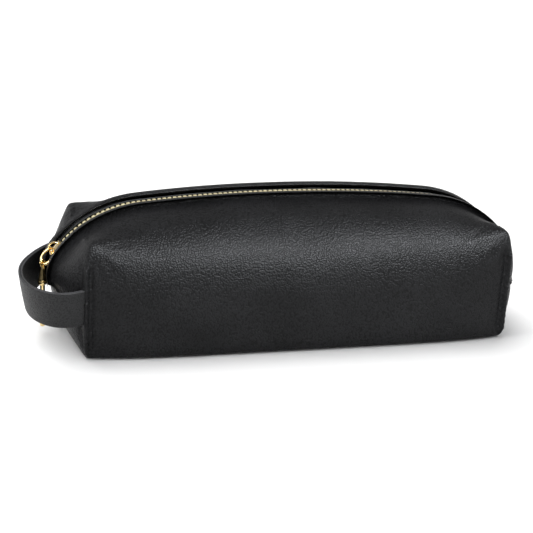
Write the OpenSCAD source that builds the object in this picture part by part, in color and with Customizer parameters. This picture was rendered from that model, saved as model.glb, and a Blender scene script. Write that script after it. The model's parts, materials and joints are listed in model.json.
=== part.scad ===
// Soft box-shaped makeup bag with a zip over the top and a wrist loop at one end.
// Origin: centre of the flat base. +X runs along the bag away from the wrist loop, the front faces -Y, +Z is up.

/* [Bag] */
// Length between the left and right corner seams
bag_length = 210; // [160:1:280]
// Depth between the front and back corner seams
bag_depth = 75; // [55:1:100]
// Height of the corner seams
seam_height = 55.4; // [45:0.2:70]
// Rise of the crown above the top of the corner seams
crown_rise = 13.1; // [9:0.1:16]
// How far the stuffed front and back stand out past the corner seams
side_bulge = 4.5; // [2:0.1:7]

/* [Shell] */
// Thickness of the outer leather
leather_t = 0.9; // [0.6:0.05:1.3]
// Thickness of the lining
lining_t = 0.8; // [0.6:0.05:1.0]
// Slack between the outer leather and the lining
lining_slack = 0.9; // [0.8:0.05:1.5]
// Distance between the folded leather edges along the zip
zip_opening = 12; // [10:0.2:16]
// Width of the tape that binds the inside seams
binding_w = 5; // [4:0.2:8]
// Thickness of the binding tape
binding_t = 0.6; // [0.4:0.05:1]

/* [Shoulders] */
// Radius of the shoulder that the zip rolls over
shoulder_r = 55.4; // [50:0.1:62]
// Length from a corner seam to the start of its shoulder, along the bag
shoulder_run = 29.9; // [26:0.1:34]
// Drop of the top between its middle and the start of a shoulder
top_sag = 3.9; // [2:0.1:6]
// Angle on the shoulder where the tighter end curve takes over
shoulder_end_a = 53.3; // [48:0.1:56]
// Radius of the end curve below the shoulder
end_r = 17.5; // [14:0.1:22]

/* [Zip] */
// Pitch of the teeth along one tape
tooth_pitch = 2.54; // [2:0.01:3.2]
// Length of one tooth along the zip
tooth_l = 1.2; // [0.9:0.05:1.5]
// Thickness of the chain of teeth
tooth_h = 2.4; // [2:0.05:3]
// Half the width of the chain of teeth
chain_half_w = 2.7; // [2.2:0.05:3.4]
// Free gap between the two rows of teeth
row_gap = 0.9; // [0.8:0.05:1.2]
// Thickness of the woven tape
tape_t = 0.5; // [0.3:0.05:0.6]
// Distance from the middle of the zip to the outer edge of a tape
tape_half_w = 12.5; // [10:0.1:16]

/* [Stitching] */
// Distance from the folded leather edge to the topstitch
stitch_inset = 1.5; // [1:0.1:3]
// Pitch of the topstitches
stitch_pitch = 3.2; // [2:0.1:5]
// Diameter of the thread
thread_d = 0.45; // [0.3:0.05:0.8]

/* [Slider] */
// Length of the slider along the zip
slider_l = 7.6; // [6.5:0.1:10]
// Thickness of each slider plate
plate_t = 0.9; // [0.7:0.05:1.4]
// Free height between a slider plate and the teeth
plate_gap = 0.3; // [0.25:0.05:0.5]
// Thickness of the side rims of the slider
rim_t = 0.6; // [0.4:0.05:1]
// Outer radius of the bridge on the slider
bridge_r = 3.2; // [2.9:0.1:4]
// Thickness of the bridge
bridge_t = 0.7; // [0.5:0.05:1]
// Width of the bridge across the zip
bridge_w = 1.6; // [1.2:0.1:2.4]

/* [Pull] */
// Diameter of the ring's wire
ring_wire_d = 1.4; // [1.1:0.05:1.6]
// Outer width of the ring
ring_w = 7; // [6:0.1:9]
// Outer length of the ring
ring_l = 10; // [8:0.1:12]
// Length of the pull from its eye's centre to its tip
pull_l = 32.4; // [24:0.2:34]
// Length of the flared neck of the pull
neck_l = 10.4; // [6:0.2:12]
// Diameter of the pull at its shoulder
pull_shoulder_d = 4.6; // [3.6:0.1:6]
// Diameter of the slim bar
pull_bar_d = 2.6; // [1.8:0.1:3.4]

/* [Wrist loop] */
// Width of the strap
strap_w = 17; // [12:0.5:24]
// Thickness of each of the two strap layers
strap_t = 1.1; // [0.8:0.05:1.5]
// Reach of the loop past the corner seams, to its outer face
loop_reach = 30; // [25:0.5:45]
// How far the loop stands out past the front of the bag
loop_front_bulge = 13; // [4:0.5:18]
// How far the strap's lower edge tucks in under its upper edge
strap_flare = 3; // [0:0.2:5]
// Height of the strap's middle where it leaves the seams
strap_z = 26.6; // [20:0.2:32]
// Length of each sewn strap end, from the corner seam to where the strap flexes
strap_end_l = 4; // [3:0.2:8]
// Largest angle that the loop lifts or drops by
strap_swing = 20; // [10:1:30]

/* [Hidden] */

// ---- Proportions that the driving sizes don't set ----
half_l = bag_length / 2;
half_w = bag_depth / 2;
mid_h = seam_height / 2;
crown_h = seam_height + crown_rise;
edge_rise = 12;          // rise of the soft top edges between the corner seams
edge_power = 2.4;
base_square = 18;        // squareness of the lower edges
lower_power = 2.2;       // fullness of the lower end flaps
lower_round = 0.8;
seam_gap = 0.2;
fit_gap = 0.05;

// Centre profile of the top: a shallow arc, a shoulder arc and a tighter end arc, each tangent to the next
join_x = half_l - shoulder_run;
top_r = (join_x * join_x + top_sag * top_sag) / (2 * top_sag);
join_a = asin(join_x / top_r);
shoulder_x = join_x - shoulder_r * sin(join_a);
shoulder_z = crown_h - top_sag - shoulder_r * cos(join_a);
end_x = shoulder_x + (shoulder_r - end_r) * sin(shoulder_end_a);
end_z = shoulder_z + (shoulder_r - end_r) * cos(shoulder_end_a);

// Insets below the outer face of the leather
lining_d = leather_t + lining_slack;
inner_d = lining_d + lining_t;
tape_gap = 0.2;              // space between a tape and the leather over it
tape_d = leather_t + tape_gap;
chain_d = tape_d + tape_t / 2;

// Height of the centre profile at x, at inset d
function centre_z(x, d) =
    abs(x) < shoulder_x + (shoulder_r - d) * sin(join_a)
    ? crown_h - top_r + sqrt(pow(top_r - d, 2) - x * x)
    : shoulder_z + sqrt(pow(shoulder_r - d, 2) - pow(abs(x) - shoulder_x, 2));

// Reach of the centre profile along X at height z, at inset d
function centre_x(z, d) =
    z > shoulder_z + (shoulder_r - d) * cos(shoulder_end_a)
    ? shoulder_x + sqrt(pow(shoulder_r - d, 2) - pow(z - shoulder_z, 2))
    : end_x + sqrt(pow(end_r - d, 2) - pow(z - end_z, 2));

// Half depth of the stuffed body, and height of its roof e of the way out to its side
function side_y(x, d) = half_w - d + side_bulge * (1 - pow(abs(x) / half_l, 6));
function edge_z(x, d) = seam_height - d + edge_rise * (1 - pow(abs(x) / half_l, edge_power));
function roof_z(x, e, d) = centre_z(x, d) + (edge_z(x, d) - centre_z(x, d)) * e * e;

// Squareness of the upper edges: round at mid-length, sharp where the corner seams start
function squareness(x, d) = 1.9 + 0.33 / (1 - abs(x) / (half_l - d) + 0.008);

// Cross-section at x: angle a runs from the top (0) over the side (90) to the middle of the base (180)
function section_n(x, a, d) = a <= 90 ? squareness(x, d) : base_square;
function section_r(n, a) = pow(pow(abs(sin(a)), n) + pow(abs(cos(a)), n), -1 / n);
function section_e(x, a, d) = section_r(section_n(x, a, d), a) * sin(a);
function section_c(x, a, d) = section_r(section_n(x, a, d), a) * abs(cos(a));
function section_z(x, a, d) =
    let (c = section_c(x, a, d), e = section_e(x, a, d))
    a <= 90 ? mid_h + c * (roof_z(x, e, d) - mid_h) : mid_h - c * (mid_h - d);
function section_pt(x, a, d) = [x, side_y(x, d) * section_e(x, a, d), section_z(x, a, d)];

// Angle of the cross-section at which it is y away from the middle, near the top or the base
function angle_at(x, y, d, n) = let (e = y / side_y(x, d)) atan(e / pow(1 - pow(e, n), 1 / n));

// End flap beyond a corner seam: fullness across it, and its point between a top or base point and the seam row
function flap_fullness(e) = pow(max(0, 1 - pow(min(1, e), 2.5)), 0.7);
function flap_rise(z, d) =
    z >= mid_h
    ? centre_x(z, d) - (half_l - d)
    : (centre_x(mid_h, d) - (half_l - d)) * pow(1 - pow(1 - max(0, z - d) / (mid_h - d), lower_power), lower_round);
function flap_pt(side, a, a_row, d) =
    let (x = half_l - d, corner = a_row <= 90 ? 45 : 135,
         p = section_pt(x, a, d), row = section_pt(x, a_row, d), tip = section_pt(x, corner, d),
         share = (row[2] - mid_h) / (tip[2] - mid_h),
         e = p[1] / tip[1],
         z_mid = a_row <= 90 ? mid_h + share * (centre_z(x, d) - mid_h) : mid_h - share * (mid_h - d))
    [side * (x + flap_rise(z_mid, d) * flap_fullness(e)), p[1] * row[1] / tip[1], mid_h + share * (p[2] - mid_h)];

// ---- Half shells: the front or back half of one layer of the body, from inset d0 in to d1 ----
// A belt of stations runs over the top, down the right end, back along the base and up the left end. Its rows
// run from the zip, or the seam in the base, out to the rim of the side face, which a grid then fills.
function ease_ends(u) = let (s = 2 * u - 1) 0.5 * s + 0.5 * sin(90 * s);
function row_angle(u) = u <= 0.5 ? 45 + 90 * u : 135 - 45 * pow(2 * (1 - u), 1.7);
function belt_angle(x, k, cols, d, y0, top) =
    let (u = k / cols, a0 = angle_at(x, y0, d, top ? squareness(x, d) : base_square))
    top ? a0 + (45 - a0) * u : 135 + (45 - a0) * pow(1 - u, 1.7);

function shell_pt(m, k, nx, nr, cols, d, y_top) =
    let (half = nx + nr, x_end = half_l - d)
    m <= nx ? let (x = x_end * ease_ends(m / nx)) section_pt(x, belt_angle(x, k, cols, d, y_top, true), d)
    : m < half ? end_pt(1, m - nx, k, nr, cols, d, y_top)
    : m <= half + nx ? let (x = -x_end * ease_ends((m - half) / nx))
        section_pt(x, belt_angle(x, k, cols, d, seam_gap / 2, false), d)
    : end_pt(-1, nr - (m - half - nx), k, nr, cols, d, y_top);
function end_pt(side, r, k, nr, cols, d, y_top) =
    let (a_row = row_angle(r / nr), upper = a_row <= 90)
    flap_pt(side, belt_angle(half_l - d, k, cols, d, upper ? y_top : seam_gap / 2, upper), a_row, d);

// Index of the side face's grid vertex (i, r) within one layer
function face_index(i, r, nx, nr, cols) =
    let (belt = 2 * (nx + nr), rim = belt * cols)
    r == 0 ? rim + i
    : i == nx ? rim + nx + r
    : r == nr ? rim + nx + nr + (nx - i)
    : i == 0 ? rim + 2 * nx + nr + (nr - r)
    : belt * (cols + 1) + (r - 1) * (nx - 1) + (i - 1);

module half_shell(d0, d1, y_top, nx, nr, cols) {
    belt = 2 * (nx + nr);
    layer = belt * (cols + 1) + (nr - 1) * (nx - 1);
    function layer_pts(d) = concat(
        [for (k = [0:cols], m = [0:belt - 1]) shell_pt(m, k, nx, nr, cols, d, y_top)],
        [for (r = [1:nr - 1], i = [1:nx - 1])
            section_pt((half_l - d) * ease_ends(i / nx), row_angle(r / nr), d)]);
    outer = concat(
        [for (k = [0:cols - 1], m = [0:belt - 1])
            let (n = (m + 1) % belt) [k * belt + m, (k + 1) * belt + m, (k + 1) * belt + n, k * belt + n]],
        [for (r = [0:nr - 1], i = [0:nx - 1])
            [face_index(i, r, nx, nr, cols), face_index(i, r + 1, nx, nr, cols),
             face_index(i + 1, r + 1, nx, nr, cols), face_index(i + 1, r, nx, nr, cols)]]);
    inner = [for (f = outer) [for (j = [3:-1:0]) f[j] + layer]];
    lip = [for (m = [0:belt - 1]) let (n = (m + 1) % belt) [m, n, layer + n, layer + m]];
    quads = concat(outer, inner, lip);
    polyhedron(concat(layer_pts(d0), layer_pts(d1)),
               [for (q = quads, h = [0, 1]) h == 0 ? [q[0], q[1], q[2]] : [q[0], q[2], q[3]]], convexity = 8);
}

// ---- The line of the zip: arc length s at the chain, from the middle of the bag towards +X ----
s_top = (top_r - chain_d) * join_a * PI / 180;
s_shoulder = s_top + (shoulder_r - chain_d) * (shoulder_end_a - join_a) * PI / 180;
seam_a = 90 + asin((end_z - mid_h) / (end_r - chain_d));
s_end = s_shoulder + (end_r - chain_d) * (seam_a - shoulder_end_a) * PI / 180;

// Lean of the zip line from level, and its height and place, at arc length s >= 0
function line_a(s) =
    s <= s_top ? s / (top_r - chain_d) * 180 / PI
    : s <= s_shoulder ? join_a + (s - s_top) / (shoulder_r - chain_d) * 180 / PI
    : shoulder_end_a + (s - s_shoulder) / (end_r - chain_d) * 180 / PI;
function line_pt(s, d) =
    let (a = line_a(s))
    s <= s_top ? [(top_r - d) * sin(a), crown_h - top_r + (top_r - d) * cos(a)]
    : s <= s_shoulder ? [shoulder_x + (shoulder_r - d) * sin(a), shoulder_z + (shoulder_r - d) * cos(a)]
    : [end_x + (end_r - d) * sin(a), end_z + (end_r - d) * cos(a)];

// Point on the body at inset d, beside the zip line at s and y away from it, towards the back
function beside_line(s, y, d) =
    let (side = s < 0 ? -1 : 1, c = line_pt(abs(s), d), x_seam = half_l - d,
         x = min(c[0], x_seam), p = section_pt(x, angle_at(x, y, d, squareness(x, d)), d))
    c[0] <= x_seam ? [side * x, y, p[2]]
    : let (share = (c[1] - mid_h) / (centre_z(x_seam, d) - mid_h))
        [side * (x_seam + (c[0] - x_seam) * flap_fullness(y / side_y(x_seam, d))), y,
         mid_h + share * (p[2] - mid_h)];

// Draws its children at the zip line, with X along the line and Z out of the bag
module on_line(s, d) {
    side = s < 0 ? -1 : 1;
    c = line_pt(abs(s), d);
    translate([side * c[0], 0, c[1]]) rotate([0, side * line_a(abs(s)), 0]) children();
}
module extrude_along(l) rotate([90, 0, 90]) translate([0, 0, -l / 2]) linear_extrude(l) children();
module mirror_front() mirror([0, 1, 0]) children();

// A solid between two grids of n rows by k points
module slab(top_pts, under_pts, n, k) {
    size = n * k;
    grid = [for (i = [0:n - 2], j = [0:k - 2]) [i * k + j, (i + 1) * k + j, (i + 1) * k + j + 1, i * k + j + 1]];
    border = concat([for (i = [0:n - 1]) i * k], [for (j = [1:k - 1]) (n - 1) * k + j],
                    [for (i = [n - 2:-1:0]) i * k + k - 1], [for (j = [k - 2:-1:1]) j]);
    edge = len(border);
    quads = concat(
        grid,
        [for (f = grid) [for (j = [3:-1:0]) f[j] + size]],
        [for (b = [0:edge - 1])
            let (p = border[b], q = border[(b + 1) % edge]) [q, p, p + size, q + size]]);
    polyhedron(concat(top_pts, under_pts),
               [for (q = quads, h = [0, 1]) h == 0 ? [q[0], q[1], q[2]] : [q[0], q[2], q[3]]], convexity = 8);
}

// ---- Leather, lining and bindings ----
panel_cols = 8;
panel_nx = 36;
panel_nr = 14;
lining_cols = 6;
lining_nx = 28;
lining_nr = 12;

module outer_half() half_shell(0, leather_t, zip_opening / 2, panel_nx, panel_nr, panel_cols);
module lining_half() half_shell(lining_d, inner_d, zip_opening / 2, lining_nx, lining_nr, lining_cols);

module back_panel() color("#26262a") outer_half();
module front_panel() color("#26262a") mirror_front() outer_half();
module back_lining() color("#3a3a3e") lining_half();
module front_lining() color("#3a3a3e") mirror_front() lining_half();

binding_clear = 0.2;
corner_binding_foot = 6;     // height of a corner binding's lower end above the base
corner_binding_drop = 8;     // distance of its upper end below the top of the seam

// A tape folded over the raw edges of a corner seam, standing against the lining at the end
module corner_binding(side_x, side_y) {
    x0 = half_l - inner_d - binding_clear - binding_t;
    y0 = half_w - inner_d - binding_clear - binding_w;
    color("#1f1f22")
        translate([side_x > 0 ? x0 : -x0 - binding_t, side_y > 0 ? y0 : -y0 - binding_w, corner_binding_foot])
            cube([binding_t, binding_w, seam_height - corner_binding_drop - corner_binding_foot]);
}
module corner_binding_front_left() corner_binding(-1, -1);
module corner_binding_front_right() corner_binding(1, -1);
module corner_binding_back_left() corner_binding(-1, 1);
module corner_binding_back_right() corner_binding(1, 1);

end_binding_steps = 12;
end_binding_half = half_w - inner_d - binding_w - 3 * binding_clear;
function end_line_x(y, d) =
    half_l - d + flap_rise(mid_h, d) * flap_fullness(abs(y) / (half_w - d));
module end_binding() {
    d0 = inner_d + 2 * binding_clear;
    ys = [for (i = [0:end_binding_steps]) end_binding_half * (2 * i / end_binding_steps - 1)];
    color("#1f1f22") translate([0, 0, mid_h - binding_w / 2]) linear_extrude(binding_w)
        polygon(concat([for (y = ys) [end_line_x(y, d0), y]],
                       [for (i = [end_binding_steps:-1:0]) [end_line_x(ys[i], d0 + binding_t), ys[i]]]));
}
module end_binding_right() end_binding();
module end_binding_left() mirror([1, 0, 0]) end_binding();

module base_seam_binding() {
    l = 2 * (half_l - inner_d - binding_w);
    color("#1f1f22") translate([-l / 2, -binding_w / 2, inner_d + binding_clear]) cube([l, binding_w, binding_t]);
}

// ---- Zip ----
tooth_head = 0.8;            // length of a tooth's head beyond the edge of the tape
tape_edge = row_gap / 2 + tooth_head + fit_gap;
tape_rows = 72;
tape_cols = [tape_edge, zip_opening / 2, tape_half_w * 0.75, tape_half_w];
tape_seam_clear = 0.4;

module zip_tape() {
    function tape_pts(d) = [for (i = [0:tape_rows], y = tape_cols)
        beside_line((2 * i / tape_rows - 1) * (s_end - tape_seam_clear), y, d)];
    slab(tape_pts(tape_d + tape_t), tape_pts(tape_d), tape_rows + 1, len(tape_cols));
}
module zip_tape_back() color("#17171a") zip_tape();
module zip_tape_front() color("#17171a") mirror_front() zip_tape();

clamp_gap = 0.1;             // space between a tape and each leg of a metal piece clamped on it

// Section of a metal piece clamped on a tape's edge, from y0 out to y1
module clamp_section(y0, y1, h) {
    slot = tape_t / 2 + clamp_gap;
    back = row_gap / 2 + tooth_head;
    polygon([[y0, -h / 2], [y1, -h / 2], [y1, -slot], [back, -slot],
             [back, slot], [y1, slot], [y1, h / 2], [y0, h / 2]]);
}

// The closed chain runs from the middle of the slider to the bottom stop on the right end
slider_s = -s_shoulder;
stop_l = 3;
stop_gap = 0.4;
bottom_stop_s = s_shoulder + (end_r - chain_d) * 30 * PI / 180;
chain_start = slider_s + 1;
chain_stop = bottom_stop_s - stop_l / 2 - stop_gap - tooth_l;
teeth_n = floor((chain_stop - chain_start) / tooth_pitch);

module zip_teeth(lag) {
    for (i = [0:teeth_n - 1])
        on_line(chain_start + tooth_l / 2 + (i + lag) * tooth_pitch, chain_d)
            extrude_along(tooth_l) clamp_section(row_gap / 2, chain_half_w, tooth_h);
}
module zip_teeth_back() color("#d9b96a") zip_teeth(0.5);
module zip_teeth_front() color("#d9b96a") mirror_front() zip_teeth(0);

top_stop_a = 82;             // lean of the zip line at the top stops
top_stop_s = -(s_shoulder + (end_r - chain_d) * (top_stop_a - shoulder_end_a) * PI / 180);
module top_stop() on_line(top_stop_s, chain_d) extrude_along(stop_l) clamp_section(row_gap / 2, chain_half_w, tooth_h);
module top_stop_back() color("#d9b96a") top_stop();
module top_stop_front() color("#d9b96a") mirror_front() top_stop();

module bottom_stop() {
    color("#d9b96a") on_line(bottom_stop_s, chain_d) extrude_along(stop_l) {
        clamp_section(-row_gap / 2, chain_half_w, tooth_h);
        mirror([1, 0]) clamp_section(-row_gap / 2, chain_half_w, tooth_h);
    }
}

// ---- Topstitching along both folded leather edges ----
stitch_y = zip_opening / 2 + stitch_inset;
stitch_l = stitch_pitch - 0.9;
stitch_n = floor((s_end - 2) / stitch_pitch);
module topstitch() {
    lift = -thread_d / 2 - fit_gap;
    for (i = [-stitch_n:stitch_n]) {
        s = i * stitch_pitch;
        p = beside_line(s, stitch_y, lift);
        translate(p) rotate([0, (s < 0 ? -1 : 1) * line_a(abs(s)), 0]) rotate([0, 90, 0])
            cylinder(d = thread_d, h = stitch_l, center = true, $fn = 16);
    }
}
module topstitch_back() color("#101012") topstitch();
module topstitch_front() color("#101012") mirror_front() topstitch();

// ---- Wrist loop: two glued layers on one curve, held by short ends sewn into the left corner seams ----
strap_y = half_w + strap_t + fit_gap;
flex_x = -half_l - strap_end_l;
flex_gap = 0.3 + strap_t;
strap_tuck = 1.5;            // length of a strap end inside its seam
strap_rows = 40;
loop_run = (loop_reach - strap_end_l - flex_gap) / 0.375;
loop_lean = 3;               // the far end of the loop leans this much towards the back
loop_curve = [[flex_x - flex_gap, -strap_y],
              [flex_x - flex_gap - 0.39 * loop_run, -strap_y - loop_front_bulge],
              [flex_x - flex_gap - 0.61 * loop_run, loop_lean],
              [flex_x - flex_gap, strap_y]];
function curve_pt(c, t) = pow(1 - t, 3) * c[0] + 3 * t * pow(1 - t, 2) * c[1]
    + 3 * t * t * (1 - t) * c[2] + pow(t, 3) * c[3];
function curve_dir(c, t) = let (v = pow(1 - t, 2) * (c[1] - c[0]) + 2 * t * (1 - t) * (c[2] - c[1])
    + t * t * (c[3] - c[2])) v / norm(v);

// The strap's corners are cut back at both ends, so that it can swing against the sewn ends
end_cut = strap_w / 2 * tan(strap_swing) / (3 * 0.39 * loop_run);
function strap_pt(u, level, off) =
    let (cut = end_cut * abs(level), t = cut + u * (1 - 2 * cut), p = curve_pt(loop_curve, t),
         v = curve_dir(loop_curve, t), tuck = strap_flare * (1 - level) / 2 * 4 * t * (1 - t))
    [p[0] + v[1] * (off - tuck), p[1] - v[0] * (off - tuck), strap_z + level * strap_w / 2];
module strap_layer(off0, off1) {
    function layer_pts(off) = [for (i = [0:strap_rows], level = [-1, 0, 1]) strap_pt(i / strap_rows, level, off)];
    slab(layer_pts(off0), layer_pts(off1), strap_rows + 1, 3);
}
module strap_outer() color("#232326") strap_layer(-strap_t, 0);
module strap_inner() color("#2b2b2e") strap_layer(fit_gap, strap_t);

module strap_end() {
    color("#232326") translate([flex_x, half_w + fit_gap, strap_z - strap_w / 2])
        cube([strap_end_l + strap_tuck, 2 * strap_t, strap_w]);
}
module strap_end_back() strap_end();
module strap_end_front() mirror_front() strap_end();

// ---- Slider, in its own frame on the zip line: X up the line, Z out of the bag ----
plate_z = tooth_h / 2 + plate_gap;
plate_top = plate_z + plate_t;
slider_half_w = chain_half_w + plate_gap + rim_t;
rim_drop = 0.75;             // height of a rim below its plate
nose_cut = 1.3;
web_t = 0.4;
web_l = 2.4;
module at_slider() on_line(slider_s, chain_d) children();

module slider_plate() {
    linear_extrude(plate_t) polygon([
        for (e = [[-1, 1], [1, 1], [1, -1], [-1, -1]], c = e[0] * e[1] < 0 ? [0, 1] : [1, 0])
            [e[0] * (slider_l / 2 - c * nose_cut), e[1] * (slider_half_w - (1 - c) * nose_cut)]]);
    for (side = [-1, 1])
        translate([-slider_l / 2 + nose_cut, side > 0 ? slider_half_w - rim_t : -slider_half_w, -rim_drop])
            cube([slider_l - 2 * nose_cut, rim_t, rim_drop + plate_t / 2]);
}
module slider_body() {
    color("#e0bd68") at_slider() {
        translate([0, 0, plate_z]) slider_plate();
        mirror([0, 0, 1]) translate([0, 0, plate_z]) slider_plate();
        translate([-slider_l / 2 + 0.5, -web_t / 2, -plate_z - plate_t / 2])
            cube([web_l, web_t, 2 * plate_z + plate_t]);
    }
}
module slider_bridge() {
    color("#e0bd68") at_slider() translate([0, bridge_w / 2, plate_top]) rotate([90, 0, 0])
        linear_extrude(bridge_w) intersection() {
            difference() {
                circle(r = bridge_r, $fn = 64);
                circle(r = bridge_r - bridge_t, $fn = 64);
            }
            translate([-bridge_r, 0]) square([2 * bridge_r, bridge_r]);
        }
}

// ---- Ring and pull ----
ring_lean = 36;              // lean of the hanging ring from plumb
ring_seat = [-0.9, 1.2];     // wire's centre under the bridge: along the slider, and above its plate
slider_a = -shoulder_end_a;
slider_at = line_pt(s_shoulder, chain_d);
ring_top = [-slider_at[0] + ring_seat[0] * cos(slider_a) + (plate_top + ring_seat[1]) * sin(slider_a),
            slider_at[1] - ring_seat[0] * sin(slider_a) + (plate_top + ring_seat[1]) * cos(slider_a)];
ring_mid_r = (ring_w - ring_wire_d) / 2;
ring_side_l = ring_l - ring_w;
ring_drop = ring_l - ring_wire_d;
ring_foot = [ring_top[0] - ring_drop * sin(ring_lean), ring_top[1] - ring_drop * cos(ring_lean)];

module half_ring() rotate([90, 0, 90]) rotate_extrude(angle = 180, $fn = 48)
    translate([ring_mid_r, 0]) circle(d = ring_wire_d, $fn = 32);
module pull_ring() {
    color("#e6c470") translate([ring_top[0], 0, ring_top[1]]) rotate([0, ring_lean, 0])
        translate([0, 0, -ring_drop / 2]) {
            for (up = [0, 1]) mirror([0, 0, up]) translate([0, 0, ring_side_l / 2]) half_ring();
            for (side = [-1, 1]) translate([0, side * ring_mid_r, -ring_side_l / 2])
                cylinder(d = ring_wire_d, h = ring_side_l, $fn = 32);
        }
}

eye_r = 1.5;                 // radius of the eye, to the middle of its wire
eye_wire_d = 0.8;
neck_top_d = 1.5;
collar_h = 0.8;
bar_end_r = 0.4;
module pull_tab() {
    shoulder = pull_shoulder_d / 2;
    bar = pull_bar_d / 2;
    color("#e6c470") translate([ring_foot[0], 0, ring_foot[1]]) {
        rotate([90, 0, 0]) rotate_extrude($fn = 48) translate([eye_r, 0]) circle(d = eye_wire_d, $fn = 24);
        rotate_extrude($fn = 48) polygon([
            [0, -eye_r - eye_wire_d / 4], [neck_top_d / 2, -eye_r - eye_wire_d / 4],
            [shoulder * 0.92, -neck_l + 2 * collar_h], [shoulder * 0.84, -neck_l + 1.5 * collar_h],
            [shoulder, -neck_l + collar_h], [shoulder, -neck_l], [bar, -neck_l - collar_h],
            [bar, -pull_l + bar_end_r], [bar - bar_end_r, -pull_l], [0, -pull_l]]);
    }
}

front_panel();
back_panel();
front_lining();
back_lining();
corner_binding_front_left();
corner_binding_front_right();
corner_binding_back_left();
corner_binding_back_right();
end_binding_left();
end_binding_right();
base_seam_binding();
zip_tape_front();
zip_tape_back();
zip_teeth_front();
zip_teeth_back();
top_stop_front();
top_stop_back();
bottom_stop();
topstitch_front();
topstitch_back();
strap_end_front();
strap_end_back();
strap_outer();
strap_inner();
slider_body();
slider_bridge();
pull_ring();
pull_tab();
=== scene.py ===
"""Makeup bag: a soft leather box pouch with a metal zip, a turned pull and a wrist loop, in the CAD frame."""
import json
import math
import bpy
import bmesh
import numpy as np
from mathutils import Matrix, Vector, noise


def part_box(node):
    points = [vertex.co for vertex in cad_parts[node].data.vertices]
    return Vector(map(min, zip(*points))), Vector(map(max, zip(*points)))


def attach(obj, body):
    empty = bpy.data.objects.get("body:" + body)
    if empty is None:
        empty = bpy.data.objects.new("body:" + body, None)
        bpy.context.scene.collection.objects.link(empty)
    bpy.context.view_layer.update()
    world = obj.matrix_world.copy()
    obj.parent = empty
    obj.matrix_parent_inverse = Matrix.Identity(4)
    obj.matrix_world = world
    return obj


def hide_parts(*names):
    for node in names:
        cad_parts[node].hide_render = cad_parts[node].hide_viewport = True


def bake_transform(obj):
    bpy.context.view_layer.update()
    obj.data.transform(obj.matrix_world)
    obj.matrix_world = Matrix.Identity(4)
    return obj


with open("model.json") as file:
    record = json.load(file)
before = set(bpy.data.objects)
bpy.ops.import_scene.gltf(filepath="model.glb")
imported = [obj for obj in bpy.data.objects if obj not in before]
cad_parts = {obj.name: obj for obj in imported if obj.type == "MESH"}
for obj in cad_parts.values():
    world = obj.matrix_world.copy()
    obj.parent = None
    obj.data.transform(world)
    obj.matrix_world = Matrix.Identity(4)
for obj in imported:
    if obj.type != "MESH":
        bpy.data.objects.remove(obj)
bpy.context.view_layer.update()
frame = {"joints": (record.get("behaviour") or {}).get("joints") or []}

MM = 0.001

# ---------------------------------------------------------------- sizes of the bag, in mm, as in the CAD part
# CHAIN_D is less than in the CAD part: the chain stands proud, as in the photo
HALF_L, HALF_W, SEAM_H = 105.0, 37.5, 55.4
MID_H, CROWN_H = SEAM_H / 2, 68.5
BULGE, EDGE_RISE, EDGE_POWER, BASE_N = 4.5, 12.0, 2.4, 18.0
LOW_POWER, LOW_ROUND = 2.2, 0.8
SHO_R, SHO_RUN, TOP_SAG, SHO_END, END_R = 55.4, 29.9, 3.9, 53.3, 17.5
OPENING, LINING_D = 12.0, 2.0
CHAIN_D, TAPE_D, TAPE_T = 0.30, 0.65, 0.5
BASE_GAP = 0.2
JOIN_X = HALF_L - SHO_RUN
TOP_R = (JOIN_X ** 2 + TOP_SAG ** 2) / (2 * TOP_SAG)
JOIN_A = math.degrees(math.asin(JOIN_X / TOP_R))


def sin(a):
    return math.sin(math.radians(a))


def cos(a):
    return math.cos(math.radians(a))


SHO_X = JOIN_X - SHO_R * sin(JOIN_A)
SHO_Z = CROWN_H - TOP_SAG - SHO_R * cos(JOIN_A)
END_X = SHO_X + (SHO_R - END_R) * sin(SHO_END)
END_Z = SHO_Z + (SHO_R - END_R) * cos(SHO_END)


# ---------------------------------------------------------------- the body's surface at inset d
def centre_z(x, d):
    if abs(x) < SHO_X + (SHO_R - d) * sin(JOIN_A):
        return CROWN_H - TOP_R + math.sqrt((TOP_R - d) ** 2 - x * x)
    return SHO_Z + math.sqrt(max(0, (SHO_R - d) ** 2 - (abs(x) - SHO_X) ** 2))


def centre_x(z, d):
    if z > SHO_Z + (SHO_R - d) * cos(SHO_END):
        return SHO_X + math.sqrt((SHO_R - d) ** 2 - (z - SHO_Z) ** 2)
    return END_X + math.sqrt((END_R - d) ** 2 - (z - END_Z) ** 2)


def side_y(x, d):
    return HALF_W - d + BULGE * (1 - (abs(x) / HALF_L) ** 6)


def roof_z(x, e, d):
    edge = SEAM_H - d + EDGE_RISE * (1 - (abs(x) / HALF_L) ** EDGE_POWER)
    mid = centre_z(x, d)
    return mid + (edge - mid) * e * e


def squareness(x, d):
    return 1.9 + 0.33 / (1 - abs(x) / (HALF_L - d) + 0.008)


def section_pt(x, a, d):
    n = squareness(x, d) if a <= 90 else BASE_N
    r = (abs(sin(a)) ** n + abs(cos(a)) ** n) ** (-1 / n)
    e, c = r * sin(a), r * abs(cos(a))
    z = MID_H + c * (roof_z(x, e, d) - MID_H) if a <= 90 else MID_H - c * (MID_H - d)
    return (x, side_y(x, d) * e, z)


def angle_at(x, y, d, n):
    e = y / side_y(x, d)
    return math.degrees(math.atan(e / (1 - e ** n) ** (1 / n)))


def flap_fullness(e):
    return max(0, 1 - min(1, e) ** 2.5) ** 0.7


def flap_rise(z, d):
    if z >= MID_H:
        return centre_x(z, d) - (HALF_L - d)
    share = 1 - max(0, z - d) / (MID_H - d)
    return (centre_x(MID_H, d) - (HALF_L - d)) * (1 - share ** LOW_POWER) ** LOW_ROUND


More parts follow.
